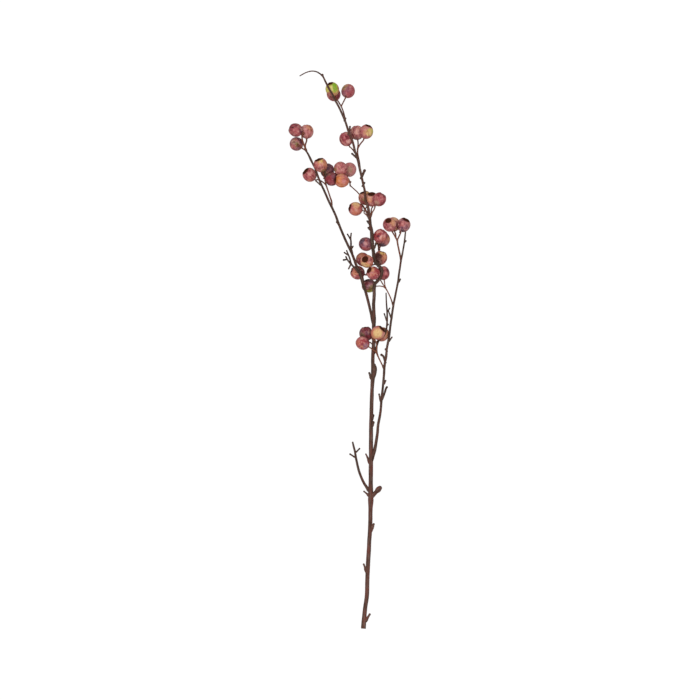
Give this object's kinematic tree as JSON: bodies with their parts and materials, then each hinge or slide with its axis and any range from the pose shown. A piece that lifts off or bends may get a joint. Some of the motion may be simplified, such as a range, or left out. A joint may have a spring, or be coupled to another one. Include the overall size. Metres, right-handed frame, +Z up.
{
  "type": "hawthorn berry branch",
  "caption": "Cut hawthorn branch lying flat: a long woody stem with side branches, bare spurs and clusters of round berries on forked stalks.",
  "frame": {"origin": "middle of the branch's bounding box, on the surface that it lies on", "axes": "+Y along the branch from its cut end towards its tip, +X to the right seen from above, +Z up"},
  "size_m": [0.1738, 0.7974, 0.0529],
  "materials": {
    "bark": "rough brown bark",
    "twig_bark": "rough dark bark",
    "stalk": "smooth reddish skin",
    "berry_rose": "satin rose skin with bloom",
    "berry_plum": "satin plum skin with bloom",
    "berry_peach": "satin peach skin",
    "berry_green": "satin yellow-green skin"
  },
  "bodies": {
    "root": {"main_stem": "bark", "left_branch": "bark", "right_branch": "bark", "lower_twig": "twig_bark", "inner_twig": "twig_bark", "left_upper_twig": "twig_bark", "left_lower_twig": "twig_bark", "tip_berry_1": "berry_green", "tip_berry_2": "berry_plum", "tip_berry_3": "berry_rose", "left_tip_berry_1": "berry_rose", "left_tip_berry_2": "berry_rose", "left_tip_berry_3": "berry_plum", "upper_berry_1": "berry_rose", "upper_berry_2": "berry_rose", "upper_berry_3": "berry_peach", "left_berry_1": "berry_peach", "left_berry_2": "berry_rose", "left_berry_3": "berry_plum", "left_berry_4": "berry_plum", "middle_berry_1": "berry_rose", "middle_berry_2": "berry_plum", "middle_berry_3": "berry_peach", "centre_berry_1": "berry_peach", "centre_berry_2": "berry_peach", "centre_berry_3": "berry_plum", "centre_berry_4": "berry_peach", "right_berry_1": "berry_rose", "right_berry_2": "berry_peach", "right_berry_3": "berry_rose", "inner_berry_1": "berry_rose", "inner_berry_2": "berry_plum", "inner_berry_3": "berry_plum", "fork_berry_1": "berry_peach", "fork_berry_2": "berry_rose", "fork_berry_3": "berry_plum", "fork_berry_4": "berry_rose", "fork_berry_5": "berry_plum", "fork_berry_6": "berry_peach", "fork_berry_7": "berry_plum", "lower_berry_1": "berry_rose", "lower_berry_2": "berry_plum", "lower_berry_3": "berry_peach", "lower_berry_4": "berry_peach", "tip_stalks": "stalk", "left_tip_stalks": "stalk", "upper_stalk": "stalk", "upper_right_stalks": "stalk", "left_stalks": "stalk", "middle_stalks": "stalk", "centre_stalks": "stalk", "centre_left_stalk": "stalk", "right_stalks": "stalk", "inner_stalks": "stalk", "inner_left_stalk": "stalk", "fork_upper_stalks": "stalk", "fork_right_stalks": "stalk", "fork_left_stalk": "stalk", "lower_stalks": "stalk"}
  },
  "joints": []
}
